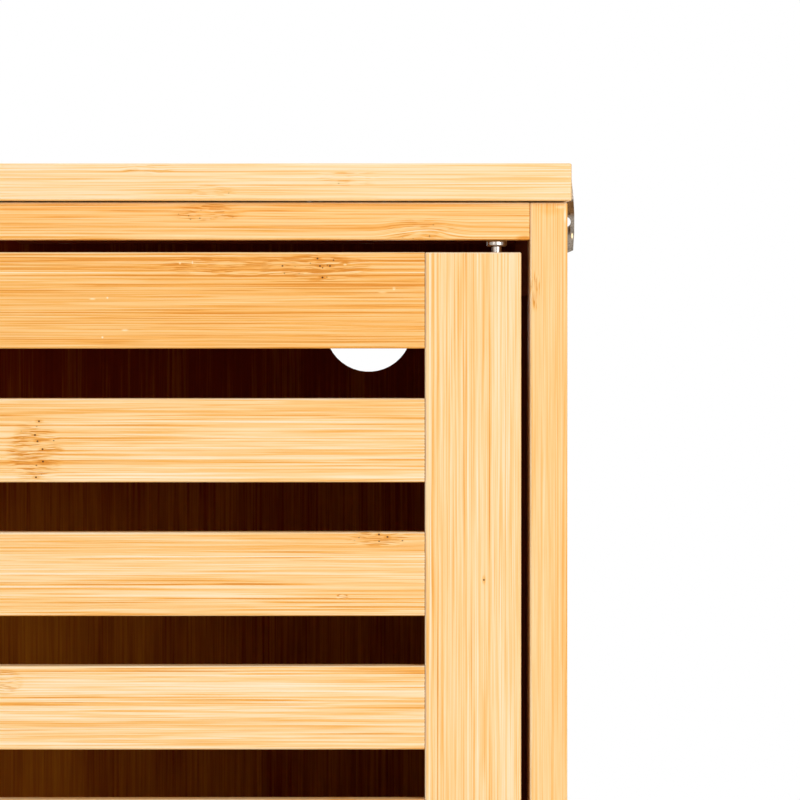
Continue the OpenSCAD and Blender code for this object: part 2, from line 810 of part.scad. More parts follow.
module door_catch() {
    color(DARK_PLASTIC) difference() {
        union() {
            board_between(
                [-catch_w / 2, catch_y, catch_z],
                [catch_w / 2, catch_y + catch_d, catch_z + catch_h],
                CATCH_R
            );
            translate([-catch_w / 2 - CATCH_EAR, catch_y + CATCH_EAR_IN, catch_z + catch_h - CATCH_EAR_T])
                linear_extrude(CATCH_EAR_T)
                    rounded_rect(catch_w + 2 * CATCH_EAR, catch_d - 2 * CATCH_EAR_IN, CATCH_EAR_R);
        }
        for (s = [-1, 1]) on_side(s) {
            magnet(hole_clearance);
            at_catch_screw() countersunk_screw(CATCH_SCREW_L, hole_clearance);
        }
    }
}

module catch_magnets() {
    color(MAGNET_GREY) for (s = [-1, 1]) on_side(s) magnet();
}

// The doors, all drawn on the right

// A tenoned member of the door between the stiles, h high, with its underside at z. Its ends are
// left sharp, so that they meet the stiles in a fine line
module door_member(z, h) {
    y = pivot_y - tenon_t / 2;
    l = door_tenon_l - TENON_END_GAP;
    translate([rail_x0, front_y, z]) rotate([90, 0, 90])
        linear_extrude(rail_x1 - rail_x0) rounded_rect(board_t, h, edge_r);
    block(
        [rail_x0 - l, y, z + tenon_shoulder],
        [rail_x1 + l, y + tenon_t, z + h - tenon_shoulder]
    );
}

// The two mortises for such a member
module door_mortises(z, h) {
    g = tenon_clearance;
    y = pivot_y - tenon_t / 2;
    block(
        [rail_x0 - door_tenon_l, y - g, z + tenon_shoulder - g],
        [rail_x1 + door_tenon_l, y + tenon_t + g, z + h - tenon_shoulder + g]
    );
}

function slat_z(i) = door_z1 - door_rail_h - i * (slat_gap + slat_h);

module all_door_mortises() {
    door_mortises(door_z0, door_rail_h);
    door_mortises(door_z1 - door_rail_h, door_rail_h);
    for (i = [1:SLATS]) door_mortises(slat_z(i), slat_h);
}

module at_knob() {
    translate([meeting_mid_x, front_y, knob_z]) rotate([90, 0, 0]) children();
}

module at_strike_screws() {
    y = front_y + board_t + strike_size[1];
    for (x = [-STRIKE_SCREW_X, STRIKE_SCREW_X])
        translate([strike_x + x, y, strike_z]) rotate([90, 0, 0]) children();
}

module hinge_stile() {
    color(BAMBOO) difference() {
        board_between([rail_x1, front_y, door_z0], [door_x1, front_y + board_t, door_z1]);
        all_door_mortises();
        for (z = [door_z1 - pivot_in_stile, door_z0 - PAST]) translate([pivot_x, pivot_y, z])
            cylinder(h = pivot_in_stile + PAST, d = pivot_d + hole_clearance);
    }
}

module meeting_stile() {
    color(BAMBOO) difference() {
        board_between([door_x0, front_y, door_z0], [rail_x0, front_y + board_t, door_z1]);
        all_door_mortises();
        at_knob() translate([0, 0, -board_t - PAST])
            cylinder(h = board_t + 2 * PAST, d = KNOB_SCREW_D + 2 * hole_clearance);
        at_strike_screws() countersunk_screw(STRIKE_SCREW_L, hole_clearance);
    }
}

module top_rail() {
    color(BAMBOO_DARK) door_member(door_z1 - door_rail_h, door_rail_h);
}

module bottom_rail() {
    color(BAMBOO_DARK) door_member(door_z0, door_rail_h);
}

module slat(i) {
    color(BAMBOO) door_member(slat_z(i), slat_h);
}

module pivot_pins() {
    in_stile = pivot_in_stile - HOLE_END_GAP;
    color(BRIGHT_STEEL) {
        translate([pivot_x, pivot_y, door_z1 - in_stile])
            cylinder(h = in_stile + door_top_gap + pivot_in_bush, d = pivot_d);
        translate([pivot_x, pivot_y, lower_z - pivot_in_bush])
            cylinder(h = pivot_in_bush + door_bottom_gap + in_stile, d = pivot_d);
        translate([pivot_x, pivot_y, door_z0 - collar_t]) cylinder(h = collar_t, d = bush_flange_d);
    }
}

module knob() {
    head_t = knob_l * KNOB_HEAD_SHARE;
    head_r = knob_d / 2;
    rim = KNOB_RIM;
    color(BRIGHT_STEEL) at_knob() difference() {
        rotate_extrude() {
            square([knob_foot_d / 2, KNOB_FOOT_T]);
            square([knob_neck_d / 2, knob_l - rim]);
            translate([0, knob_l - head_t]) square([head_r - rim, head_t]);
            translate([0, knob_l - head_t + rim]) square([head_r, head_t - 2 * rim]);
            for (z = [knob_l - head_t + rim, knob_l - rim]) translate([head_r - rim, z]) circle(rim);
        }
        translate([0, 0, -PAST])
            cylinder(h = PAST + KNOB_THREAD + HOLE_END_GAP, d = KNOB_SCREW_D + hole_clearance);
    }
}

module strike_plate() {
    s = strike_size;
    color(BRIGHT_STEEL) difference() {
        translate([strike_x - s[0] / 2, front_y + board_t + s[1], strike_z - s[2] / 2])
            rotate([90, 0, 0]) linear_extrude(s[1]) rounded_rect(s[0], s[2], STRIKE_R);
        at_strike_screws() countersunk_screw(STRIKE_SCREW_L, hole_clearance);
    }
}

// The knob's machine screw and the strike plate's two wood screws
module door_screws() {
    color(STEEL) {
        at_knob() difference() {
            union() {
                translate([0, 0, -board_t]) cylinder(h = board_t + KNOB_THREAD, d = KNOB_SCREW_D);
                translate([0, 0, -board_t - KNOB_SCREW_HEAD_T])
                    cylinder(h = KNOB_SCREW_HEAD_T, d = KNOB_SCREW_HEAD_D);
            }
            translate([0, 0, -board_t - KNOB_SCREW_HEAD_T]) cross_recess();
        }
        at_strike_screws() screw(STRIKE_SCREW_L - SCREW_END_GAP);
    }
}

module door_piece(name) {
    if (name == "hinge_stile") hinge_stile();
    if (name == "meeting_stile") meeting_stile();
    if (name == "top_rail") top_rail();
    if (name == "bottom_rail") bottom_rail();
    for (i = [1:SLATS]) if (name == str("slat_", i)) slat(i);
    if (name == "pivot_pins") pivot_pins();
    if (name == "knob") knob();
    if (name == "strike_plate") strike_plate();
    if (name == "screws") door_screws();
}

top_board();
front_top_rail();
front_bottom_rail();
rear_top_rail(-1);  // rear_left_top_rail
rear_top_rail(1);  // rear_right_top_rail
rear_bottom_rail();
post(-1, true);  // front_left_post
post(1, true);  // front_right_post
post(-1, false);  // rear_left_post
post(1, false);  // rear_right_post
side_rail(-1, true);  // left_side_top_rail
side_rail(1, true);  // right_side_top_rail
side_rail(-1, false);  // left_side_bottom_rail
side_rail(1, false);  // right_side_bottom_rail
side_panel(-1);  // left_side_panel
side_panel(1);  // right_side_panel
back_panel();
bottom_board();
shelf();
shelf_pins();
foot_glides();
wall_lugs();
wood_screws();
frame_bolts();
barrel_nuts();
dowels();
pivot_bushes();
door_catch();
catch_magnets();
for (n = DOOR_NODES) {
    door_piece(n);
    mirror([1, 0, 0]) door_piece(n);
}
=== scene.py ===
import math

import bpy
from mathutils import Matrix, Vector


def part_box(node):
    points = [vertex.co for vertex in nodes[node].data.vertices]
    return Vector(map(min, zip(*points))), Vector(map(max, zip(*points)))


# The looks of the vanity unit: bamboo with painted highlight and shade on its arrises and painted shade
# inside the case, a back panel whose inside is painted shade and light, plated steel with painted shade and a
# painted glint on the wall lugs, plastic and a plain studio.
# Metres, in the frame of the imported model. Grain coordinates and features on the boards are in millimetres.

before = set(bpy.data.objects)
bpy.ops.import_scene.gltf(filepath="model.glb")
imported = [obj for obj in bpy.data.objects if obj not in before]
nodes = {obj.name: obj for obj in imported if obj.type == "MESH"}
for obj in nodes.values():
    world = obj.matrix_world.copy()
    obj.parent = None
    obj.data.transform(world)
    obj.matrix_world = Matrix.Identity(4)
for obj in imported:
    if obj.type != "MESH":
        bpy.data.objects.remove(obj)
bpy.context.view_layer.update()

MM_PER_M = 1000.0
AXES = "XYZ"
X_GRAIN = 0
Y_GRAIN = 1
Z_GRAIN = 2
OPAQUE = 1.0

# Camera: level with the top board's edge, far in front of the right door
IMAGE_PX = 800
FOCAL_PX = 7500
SENSOR_MM = 36.0
CAMERA_DISTANCE = 3.0
CAMERA_X = 0.2465
CAMERA_Z = 0.5454
AIM_X = 0.2665
AIM_Z = 0.5054

# Studio: a large soft box at the upper right, a weaker one at the left and one above
AMBIENT = 0.30
WHITE = (1.0, 1.0, 1.0, OPAQUE)
KEY_SIZE = (2.0, 2.0)
KEY_POWER = 85.5
KEY_PLACE = (1.72, -3.15, 1.39)
STRIP_SIZE = (0.6, 1.2)
STRIP_POWER = 6.8
STRIP_PLACE = (-1.45, -2.75, 0.95)
TOP_SIZE = (1.6, 1.2)
TOP_POWER = 26.0
TOP_PLACE = (0.1, 0.35, 3.0)
LAMP_AIM = (0.1, -0.1, 0.4)
FLOOR_R = 2.4
FLOOR_RING = 96
FLOOR_GREY = 0.86
FLOOR_ROUGHNESS = 0.9
SHADOW_FLOOR_R = 0.45
WHITE_FLOOR_R = 1.3

# Bamboo, from its darkest streaks to its palest
DEEP = (0.72, 0.26, 0.03)
AMBER = (0.885, 0.41, 0.085)
HONEY = (0.925, 0.54, 0.195)
CREAM = (0.94, 0.665, 0.345)
PALE = (0.955, 0.765, 0.53)
BAMBOO_STOPS = [(0.0, DEEP), (0.25, AMBER), (0.5, HONEY), (0.75, CREAM), (1.0, PALE)]
BROWN_FLECK = (0.36, 0.12, 0.02)
DOT_BROWN = (0.12, 0.035, 0.006)
END_BROWN = (0.55, 0.27, 0.08)
END_BROWN_SHARE = 0.5
BASE_TONE = 0.60

# Strips that a board is glued up from, and their knuckles
STRIP_MM = 12.25
STRIP_DEPTH_MM = 20.0
STRIP_SHIFT_MM = 400.0
KNUCKLE_PERIOD_MM = 270.0
KNUCKLE_MM = 9.0
KNUCKLE_CORE_MM = 1.0
FRONT_MM = (5.0, 1.5)
HIDDEN_OWN = 0.5
SWAY_MM = 0.8
WAVE_MM = 1.7
SEED_STEP_MM = (613.0, 37.0, 19.0)

# How many features each noise of the bamboo has in a millimetre along, across and through a board
SWAY_NOISE = (0.003, 0.03, 0.03)
WAVE_NOISE = (0.07, 0.28, 0.28)
COARSE_NOISE = (0.011, 1.9, 1.4)
FINE_NOISE = (0.028, 3.1, 2.4)
ZONE_NOISE = (0.004, 0.2, 0.16)
THREAD_NOISE = (0.006, 0.75, 0.6)
PATCH_NOISE = (0.016, 0.9, 0.7)
FADE_NOISE = (0.013, 0.8, 0.5)
DASH_NOISE = (0.11, 2.7, 2.1)
PIT_CELLS = (0.28, 0.34, 0.34)
BUNDLES_PER_MM = 1.1
BUNDLE_RANDOMNESS = 0.9

# Where each feature's noise begins and ends its rise
WARM_RISE = (0.63, 0.75)
HAIR_RISE = (0.58, 0.74)
THREAD_RISE = (0.20, 0.06)
PATCH_RISE = (0.3, 0.8)
PALE_COARSE_RISE = (0.38, 0.16)
PALE_FINE_RISE = (0.40, 0.16)
FADE_RISE = (0.1, 0.7)
DASH_RISE = (0.54, 0.76)
PIT_RISE = (0.13, 0.07)
PIT_KNUCKLE_RISE = (0.5, 0.85)
BUNDLE_RISE = (0.16, 0.34)
END_RISE = (0.75, 0.92)
FACING_RISE = (-0.6, 0.6)
INSIDE_SHADE_RISE = (0.3, 0.6)
BROKEN_RISE = (0.3, 0.6)
ARRIS_RISE_MM = (0.85, 0.3)
ROUGH_ARRIS_RISE_MM = (0.9, 0.3)
GLUE_AND_SEAM_SHADE_RISE_MM = (0.34, 0.08)

# What each feature takes from a board's tone or adds to it
WARM_TONES = (0.44, 0.18)
HAIR_TONE = 0.24
THREAD_TONE = 0.38
PALE_TONE = 0.14
BROAD_TONE = 0.12
FADE_TONES = (0.5, 1.7)
DASH_TONE = 0.55
DASH_BROWN = 0.12
HALO_TONE = 0.3
# The arrises' tones are a painted highlight where they face up or left and painted shade where they face down
# or right
ARRIS_LIGHT_AND_SHADE_TONES = (-0.24, 0.42)
FACING_UP = 0.8
FACING_LEFT = 0.5
BROKEN_SHARES = (0.35, 1.0)

# Half sizes in millimetres of the dots in the knuckles and of the warm halo round each, and the ovals' cores
DOT_MM = (0.5, 0.45)
HALO_MM = (2.6, 1.0)
DOT_CORE = 0.6
KNUCKLE_CORE = 0.5
SPOT_CORE = 0.25
STREAK_CORE = 0.4

# The bamboo's gloss and relief
ROUGH_BASE = 0.38
ROUGH_COARSE = 0.14
ROUGH_DASH = 0.2
ROUGH_ARRIS = 0.4
ROUGH_INSIDE_SHADE = 0.5
SPECULAR = 0.14
COAT = 0.02
COAT_ROUGHNESS = 0.3
INSIDE_SHADE_SPECULAR = 0.04
RELIEF_COARSE = 0.6
RELIEF_FINE = 0.5
BAMBOO_BUMP = (0.25, 0.00012)

# A dark brown that is painted shade inside the case, from a little above the bottom rails up
INSIDE_SHADE_BROWN = (0.18, 0.034, 0.008)
INSIDE_SHADE_FLECK = 0.12
INSIDE_SHADE_FROM = 0.09
INSIDE_SHADE_EDGE = 0.002
FRONT_FACE = (1, -1)
UNDER_FACE = (2, -1)

# A glue line that is also painted seam shade, but no tenon, at the front top rail's ends
NO_TENON = 0.01


class Graph:
    """Adds nodes to one shader tree. An input's value is a number, a tuple or another node's output."""

    MIX_A = 6
    MIX_B = 7
    MIX_RESULT = 2
    NOISE_RANGE = (0.3, 0.7)
    NEW_STOP = 0.5

    def __init__(self, tree):
        self.tree = tree

    def feed(self, socket, value):
        if isinstance(value, bpy.types.NodeSocket):
            self.tree.links.new(value, socket)
        else:
            socket.default_value = value

    def node(self, kind, settings=None, **inputs):
        made = self.tree.nodes.new(kind)
        for name, value in (settings or {}).items():
            setattr(made, name, value)
        for name, value in inputs.items():
            self.feed(made.inputs[name.replace("_", " ")], value)
        return made

    def math(self, operation, *values):
        made = self.tree.nodes.new("ShaderNodeMath")
        made.operation = operation
        for socket, value in zip(made.inputs, values):
            self.feed(socket, value)
        return made.outputs[0]

    def add(self, *values):
        total = values[0]
        for value in values[1:]:
            total = self.math("ADD", total, value)
        return total

    def times(self, a, b):
        return self.math("MULTIPLY", a, b)

    def minus(self, a, b):
        return self.math("SUBTRACT", a, b)

    def absolute(self, value):
        return self.math("ABSOLUTE", value)

    def combine(self, x, y, z):
        return self.node("ShaderNodeCombineXYZ", X=x, Y=y, Z=z).outputs[0]

    def scaled(self, place, scale):
        """A vector of three places, each times its own scale."""
        return self.combine(*(self.times(p, s) for p, s in zip(place, scale)))

    def separate(self, vector):
        made = self.node("ShaderNodeSeparateXYZ", Vector=vector)
        return [made.outputs[axis] for axis in AXES]

    def object_place(self):
        coordinates = self.node("ShaderNodeTexCoord").outputs
        return self.separate(coordinates["Object"])

    def place_and_normal(self):
        coordinates = self.node("ShaderNodeTexCoord").outputs
        return self.separate(coordinates["Object"]), self.separate(coordinates["Normal"])

    def noise(self, vector, detail=1.0, roughness=0.5):
        """Noise from 0 to 1 with features about one unit across, stretched to use that range."""
        made = self.node("ShaderNodeTexNoise", Vector=vector, Scale=1.0, Detail=detail, Roughness=roughness)
        return self.step(made.outputs["Fac"], *self.NOISE_RANGE, smooth=False)

    def noises(self, vector):
        """Three smooth noises about 0, one for each channel."""
        made = self.node("ShaderNodeTexNoise", Vector=vector, Scale=1.0, Detail=0.0)
        return [self.centred(channel) for channel in self.separate(made.outputs["Color"])]

    def centred(self, value):
        """A value from 0 to 1, moved to lie about 0."""
        return self.minus(value, 0.5)

    def cells(self, dimensions, vector, scale=1.0, randomness=1.0):
        """Distance to the nearest of scattered points."""
        made = self.node("ShaderNodeTexVoronoi", {"voronoi_dimensions": dimensions},
                         Vector=vector, Scale=scale, Randomness=randomness)
        return made.outputs["Distance"]

    def step(self, value, low, high, smooth=True, to=(0.0, 1.0)):
        """The first value of to below low and its second above high, with a smooth or straight rise."""
        made = self.tree.nodes.new("ShaderNodeMapRange")
        made.interpolation_type = "SMOOTHSTEP" if smooth else "LINEAR"
        for name, v in (("Value", value), ("From Min", low), ("From Max", high),
                        ("To Min", to[0]), ("To Max", to[1])):
            self.feed(made.inputs[name], v)
        return made.outputs[0]

    def ramp(self, value, stops):
        made = self.node("ShaderNodeValToRGB", Fac=value)
        elements = made.color_ramp.elements
        while len(elements) < len(stops):
            elements.new(self.NEW_STOP)
        for element, (place, colour) in zip(elements, stops):
            element.position = place
            element.color = (*colour, OPAQUE)
        return made.outputs[0]

    def mix(self, share, a, b):
        made = self.tree.nodes.new("ShaderNodeMix")
        made.data_type = "RGBA"
        self.feed(made.inputs["Factor"], share)
        for socket, value in ((made.inputs[self.MIX_A], a), (made.inputs[self.MIX_B], b)):
            self.feed(socket, (*value, OPAQUE) if isinstance(value, tuple) else value)
        return made.outputs[self.MIX_RESULT]

    def mix_shaders(self, share, a, b):
        made = self.tree.nodes.new("ShaderNodeMixShader")
        for socket, value in zip(made.inputs, (share, a.outputs[0], b.outputs[0])):
            self.feed(socket, value)
        return made.outputs[0]


def new_material(name):
    material = bpy.data.materials.new(name)
    material.use_nodes = True
    tree = material.node_tree
    shader = tree.nodes["Principled BSDF"]
    return material, Graph(tree), shader


def finish_material(g, shader, colour, rough, height, bump_size, **constants):
    """Feeds a material's colour, roughness and relief, and sets its constant sockets."""
    g.feed(shader.inputs["Base Color"], colour)
    g.feed(shader.inputs["Roughness"], rough)
    for name, value in constants.items():
        shader.inputs[name.replace("_", " ")].default_value = value
    strength, distance = bump_size
    bump = g.node("ShaderNodeBump", Strength=strength, Distance=distance, Height=height)
    g.feed(shader.inputs["Normal"], bump.outputs[0])


def dress(node, material):
    """Gives a CAD node's object this material in every slot."""
    slots = nodes[node].material_slots
    if not slots:
        nodes[node].data.materials.append(material)
    for slot in slots:
        slot.material = material


def strips(g, along, across, depth, seed):
    """A random number for each strip that a board is glued up from, and that strip's own knuckles."""
    row = g.math("FLOOR", g.math("DIVIDE", across, STRIP_MM))
    layer = g.math("FLOOR", g.math("DIVIDE", depth, STRIP_DEPTH_MM))
    cell = g.node("ShaderNodeTexWhiteNoise", {"noise_dimensions": "3D"},
                  Vector=g.combine(row, layer, float(seed))).outputs["Value"]
    turn = g.math("FRACT", g.add(g.math("DIVIDE", along, KNUCKLE_PERIOD_MM), cell))
    off = g.times(g.absolute(g.centred(turn)), KNUCKLE_PERIOD_MM)
    return cell, g.step(off, KNUCKLE_MM, KNUCKLE_CORE_MM)


def bend(g, place, knuckle):
    """The places across and through a board, of lines that sway a little and wave round the knuckles."""
    along, across, depth = place
    sway = g.noises(g.scaled(place, SWAY_NOISE))
    wave = g.noises(g.scaled(place, WAVE_NOISE))
    strength = g.times(knuckle, WAVE_MM)
    bent = [g.add(p, g.times(s, SWAY_MM), g.times(w, strength))
            for p, s, w in zip((across, depth), sway, wave)]
    return along, *bent


def oval(g, along, across, spot, core=SPOT_CORE):
    """1 at the middle of an oval spot (along, across, half length, half width) and 0 at its rim. A fifth
    value is the spot's strength."""
    place_a, place_c, half_l, half_w, *strength = spot
    a = g.math("DIVIDE", g.minus(along, place_a), half_l)
    c = g.math("DIVIDE", g.minus(across, place_c), half_w)
    r = g.math("SQRT", g.add(g.times(a, a), g.times(c, c)))
    return g.step(r, 1.0, core, to=(0.0, strength[0] if strength else 1.0))


def streak_tone(g, across, streaks):
    """Sum of straight streaks (place across, half width, strength), warm where the strength is above 0."""
    total = 0.0
    for place, half_w, strength in streaks:
        off = g.absolute(g.minus(across, place))
        total = g.add(total, g.times(g.step(off, half_w, STREAK_CORE * half_w), strength))
    return total


def to_arris(g, from_low, size, grain, shoulder):
    """Distances to the faces along each axis, and to the nearest arris: the middle one of the three."""
    rim = []
    for i, place in enumerate(from_low):
        inner = g.math("MINIMUM", place, g.minus(float(size[i]), place))
        rim.append(g.minus(inner, shoulder if i == grain else 0.0))
    first, second, third = rim
    least = g.math("MINIMUM", first, second)
    most = g.math("MAXIMUM", first, second)
    return rim, g.math("MAXIMUM", least, g.math("MINIMUM", most, third))


def grain_lines(g, place, cell, knuckle, arches, seed):
    """The board's places with its own seed and strips, bent as the grain bends."""
    along, across, depth = (g.add(p, seed * s) for p, s in zip(place, SEED_STEP_MM))
    along = g.add(along, g.times(cell, STRIP_SHIFT_MM))
    for spot in arches:
        across = g.minus(across, oval(g, *place[:2], spot, core=0.0))
    return bend(g, (along, across, depth), knuckle)


def grain_tone(g, lines, cell):
    """Warm lines with tapered ends, finer ones and thin threads between them, and paler ones. Also gives the
    two noises that the gloss and the relief share."""
    coarse = g.noise(g.scaled(lines, COARSE_NOISE), detail=0.0)
    fine = g.noise(g.scaled(lines, FINE_NOISE))
    zone = g.noise(g.scaled(lines, ZONE_NOISE), detail=0.0)
    warm = g.times(g.step(coarse, *WARM_RISE), g.step(zone, 0.0, 1.0, smooth=False, to=WARM_TONES))
    hair = g.times(g.step(fine, *HAIR_RISE), HAIR_TONE)
    weave = g.noise(g.scaled(lines, THREAD_NOISE), detail=0.0)
    patches = g.noise(g.scaled(lines, PATCH_NOISE), detail=0.0)
    thread = g.times(g.step(g.absolute(g.centred(weave)), *THREAD_RISE),
                     g.step(patches, *PATCH_RISE, to=(0.0, THREAD_TONE)))
    pale = g.add(g.times(g.step(coarse, *PALE_COARSE_RISE), PALE_TONE),
                 g.times(g.step(fine, *PALE_FINE_RISE), PALE_TONE))
    broad = g.add(g.times(g.centred(zone), BROAD_TONE), g.times(g.centred(cell), BROAD_TONE), pale)
    return g.minus(broad, g.add(warm, hair, thread)), coarse, fine


def bamboo(node, grain, seed, warmth=0.0, contrast=0.85, own=0.5, figure=1.0, knuckles=(), streaks=(),
           marks=(), dots=(), arches=(), shoulder=0.0, painted_shade_faces=()):
    """A board's own bamboo. Places are in millimetres along the grain and across the front face, from the
    board's low corner. Own is the strength of the random knuckles at the front, and the figure that of all
    knuckles' dashes. Knuckles at the front are (along, across, half length, half width), and marks have a
    strength besides, pale where it is above 0. Streaks are (across, half width, strength), warm where it is
    above 0. Dots are (along, across). Arches are (along, across, half length, half width, rise) where the
    lines bow up. The shoulder is how far the board's tenons reach past its joints, where a thin glue line
    shows that is also painted seam shade. Faces that look along one of the given (axis, sign) pairs get a
    dark brown that is painted shade inside the case."""
    low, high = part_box(node)
    size = (high - low) * MM_PER_M
    face_axis = X_GRAIN if grain == Z_GRAIN else Z_GRAIN
    depth_axis = X_GRAIN + Y_GRAIN + Z_GRAIN - grain - face_axis

    material, g, shader = new_material("bamboo " + node.replace("_", " "))
    place, normal = g.place_and_normal()
    from_low = [g.times(g.minus(p, float(corner)), MM_PER_M) for p, corner in zip(place, low)]
    along, across, depth = (from_low[axis] for axis in (grain, face_axis, depth_axis))

    cell, own_knuckle = strips(g, along, across, depth, seed)
    front = g.step(depth, *FRONT_MM)
    knuckle = g.times(own_knuckle, g.step(depth, *FRONT_MM, to=(HIDDEN_OWN, own)))
    for spot in knuckles:
        at_front = g.times(oval(g, along, across, spot, core=KNUCKLE_CORE), front)
        knuckle = g.math("MAXIMUM", knuckle, at_front)
    lines = grain_lines(g, (along, across, depth), cell, knuckle, arches, seed)
    tone, coarse, fine = grain_tone(g, lines, cell)
    tone = g.add(g.times(tone, contrast), BASE_TONE - warmth)
    if streaks:
        still = g.minus(lines[1], seed * SEED_STEP_MM[1])
        fade = g.step(g.noise(g.scaled(lines, FADE_NOISE), detail=0.0), *FADE_RISE, to=FADE_TONES)
        tone = g.minus(tone, g.times(streak_tone(g, still, streaks), fade))

    # Short warm dashes and dark dots in the knuckles
    dash = g.step(g.noise(g.scaled(lines, DASH_NOISE)), *DASH_RISE)
    dash = g.times(g.times(dash, knuckle), figure)
    tone = g.minus(tone, g.times(dash, DASH_TONE))
    pits = g.step(g.cells("3D", g.scaled(lines, PIT_CELLS)), *PIT_RISE)
    pit = g.times(g.times(pits, g.step(knuckle, *PIT_KNUCKLE_RISE)), figure)
    for spot in dots:
        pit = g.math("MAXIMUM", pit, oval(g, along, across, (*spot, *DOT_MM), core=DOT_CORE))
        tone = g.minus(tone, g.times(oval(g, along, across, (*spot, *HALO_MM)), HALO_TONE))
    for *spot, strength in marks:
        tone = g.add(tone, g.times(oval(g, along, across, spot), strength))

    # Painted highlight and shade on the arrises: paler where they face up or left, warmer where they face
    # down or right
    rim, arris = to_arris(g, from_low, size, grain, shoulder)
    facing = g.minus(g.times(normal[Z_GRAIN], FACING_UP), g.times(normal[X_GRAIN], FACING_LEFT))
    facing = g.step(facing, *FACING_RISE, smooth=False, to=ARRIS_LIGHT_AND_SHADE_TONES)
    tone = g.add(tone, g.times(g.step(arris, *ARRIS_RISE_MM), facing))

    colour = g.ramp(tone, BAMBOO_STOPS)
    colour = g.mix(g.times(dash, DASH_BROWN), colour, BROWN_FLECK)
    colour = g.mix(pit, colour, DOT_BROWN)

    # End grain: browner, with the dots of the bundles
    end = g.step(g.absolute(normal[grain]), *END_RISE)
    bundles = g.cells("2D", g.combine(across, depth, 0.0), BUNDLES_PER_MM, BUNDLE_RANDOMNESS)
    end_colour = g.mix(g.step(bundles, *BUNDLE_RISE), BROWN_FLECK, colour)
    colour = g.mix(end, colour, g.mix(END_BROWN_SHARE, end_colour, END_BROWN))

    # A thin brown glue line at the joints, also painted seam shade
    if shoulder:
        glue_and_seam_shade = g.times(g.step(rim[grain], *GLUE_AND_SEAM_SHADE_RISE_MM), g.step(fine, *BROKEN_RISE, to=BROKEN_SHARES))
        colour = g.mix(glue_and_seam_shade, colour, BROWN_FLECK)
    rough = g.add(ROUGH_BASE, g.times(coarse, ROUGH_COARSE), g.times(dash, ROUGH_DASH),
                  g.step(arris, *ROUGH_ARRIS_RISE_MM, to=(0.0, ROUGH_ARRIS)))
    # Painted shade: faces inside the case that look along one of the given (axis, sign) pairs get the dark
    # brown, duller and rougher
    for axis, sign in painted_shade_faces:
        shaded_colour = g.mix(g.times(tone, INSIDE_SHADE_FLECK), INSIDE_SHADE_BROWN, BROWN_FLECK)
        above = g.step(place[Z_GRAIN], INSIDE_SHADE_FROM - INSIDE_SHADE_EDGE, INSIDE_SHADE_FROM)
        share = g.times(g.step(g.times(normal[axis], float(sign)), *INSIDE_SHADE_RISE), above)
        colour = g.mix(share, colour, shaded_colour)
        rough = g.add(rough, g.times(share, ROUGH_INSIDE_SHADE))

    height = g.minus(g.add(g.times(coarse, RELIEF_COARSE), g.times(fine, RELIEF_FINE)), dash)
    finish_material(g, shader, colour, rough, height, BAMBOO_BUMP, Coat_Weight=0.0 if painted_shade_faces else COAT,
                    Specular_IOR_Level=INSIDE_SHADE_SPECULAR if painted_shade_faces else SPECULAR,
                    Coat_Roughness=COAT_ROUGHNESS)
    dress(node, material)


# The back panel: inside, a dark brown that is painted shade, lighter towards the middle and lower down as
# painted light, and plain brown outside
PANEL_INSIDE_SHADE_STOPS = [(0.1, (0.12, 0.010, 0.0012)), (0.35, (0.15, 0.016, 0.0014)), (0.95, (0.43, 0.152, 0.010))]
PANEL_RAW_DARK = (0.15, 0.065, 0.025)
PANEL_RAW_PALE = (0.27, 0.135, 0.058)
PANEL_FINE_NOISE = (1.1, 1.0, 0.02)
PANEL_BROAD_NOISE = (0.06, 1.0, 0.008)
PANEL_OUTSIDE_RISE = (0.3, 0.6)
PANEL_MIDDLE_MM = (220.0, 70.0)
PANEL_MIDDLE_SHARES = (0.45, 1.0)
PANEL_LOWER_MM = (540.0, 390.0)
PANEL_BASE_TONE = 0.03
PANEL_FINE_TONE = 0.32
PANEL_BROAD_TONE = 0.24
PANEL_PAINTED_LIGHT_TONE = 0.5
PANEL_RAW_FINE = 0.6
PANEL_RAW_BROAD = 0.4
PANEL_ROUGH = 0.75
PANEL_ROUGH_FINE = 0.2
PANEL_SPECULAR = 0.03
PANEL_BUMP = (0.3, 0.0001)


def brown_panel(node):
    """Panel with fine upright grain, quite matt, plain brown outside; its inside is a dark brown of painted
    shade, lighter in the lower middle as painted light.
    """
    material, g, shader = new_material("brown panel")
    place, normal = g.place_and_normal()
    place = [g.times(v, MM_PER_M) for v in place]
    outside = g.step(normal[Y_GRAIN], *PANEL_OUTSIDE_RISE)
    fine = g.noise(g.scaled(place, PANEL_FINE_NOISE), detail=3.0, roughness=0.6)
    broad = g.noise(g.scaled(place, PANEL_BROAD_NOISE), detail=2.0)
    # Painted light: the inside is lighter towards the middle and lower down
    middle = g.step(g.absolute(place[X_GRAIN]), *PANEL_MIDDLE_MM, to=PANEL_MIDDLE_SHARES)
    light = g.times(middle, g.step(place[Z_GRAIN], *PANEL_LOWER_MM))
    tone = g.add(g.times(fine, PANEL_FINE_TONE), g.times(broad, PANEL_BROAD_TONE),
                 g.times(light, PANEL_PAINTED_LIGHT_TONE), PANEL_BASE_TONE)
    raw_tone = g.add(g.times(fine, PANEL_RAW_FINE), g.times(broad, PANEL_RAW_BROAD))
    raw = g.mix(raw_tone, PANEL_RAW_DARK, PANEL_RAW_PALE)
    rough = g.add(PANEL_ROUGH, g.times(fine, PANEL_ROUGH_FINE))
    finish_material(g, shader, g.mix(outside, g.ramp(tone, PANEL_INSIDE_SHADE_STOPS), raw), rough, fine, PANEL_BUMP,
                    Specular_IOR_Level=PANEL_SPECULAR)
    dress(node, material)


